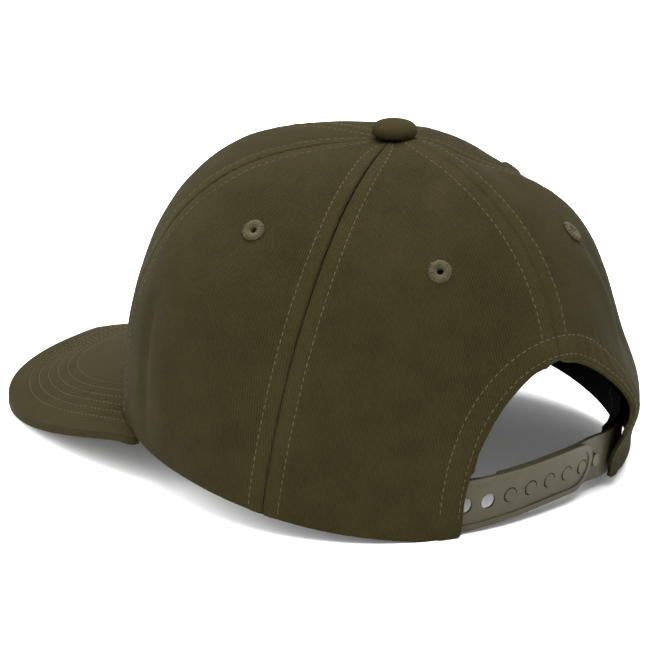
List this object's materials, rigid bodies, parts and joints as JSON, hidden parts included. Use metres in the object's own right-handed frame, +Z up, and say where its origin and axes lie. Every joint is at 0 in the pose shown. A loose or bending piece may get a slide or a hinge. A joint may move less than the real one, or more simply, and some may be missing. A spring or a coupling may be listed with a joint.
{
  "type": "six-panel cap with a flat peak and a snap strap",
  "caption": "Soft panelled cap with a flat stitched peak, a covered top button, sewn eyelets, an inside sweatband and a snap strap across a rounded back arch.",
  "frame": {"origin": "on the surface the cap stands on, below the middle of its length and width", "axes": "+Z up, the peak points along -Y, the wearer's left is +X"},
  "size_m": [0.1946, 0.2542, 0.1286],
  "materials": {
    "crown_cloth": "matt cotton twill, dark olive",
    "peak_cloth": "matt cotton twill with rows of topstitching, dark olive",
    "band_cloth": "matt black woven band",
    "button_cloth": "matt twill stretched over a button, dark olive",
    "thread": "embroidery thread, light olive",
    "strap_plastic": "satin olive plastic"
  },
  "bodies": {
    "root": {"front_panel_left": "crown_cloth", "front_panel_right": "crown_cloth", "side_panel_left": "crown_cloth", "side_panel_right": "crown_cloth", "back_panel_left": "crown_cloth", "back_panel_right": "crown_cloth", "peak": "peak_cloth", "sweatband": "band_cloth", "top_button": "button_cloth", "eyelet_side_left": "thread", "eyelet_back_left": "thread", "eyelet_side_right": "thread", "eyelet_back_right": "thread", "snap_strap_outer": "strap_plastic", "snap_strap_inner": "strap_plastic"}
  },
  "joints": []
}
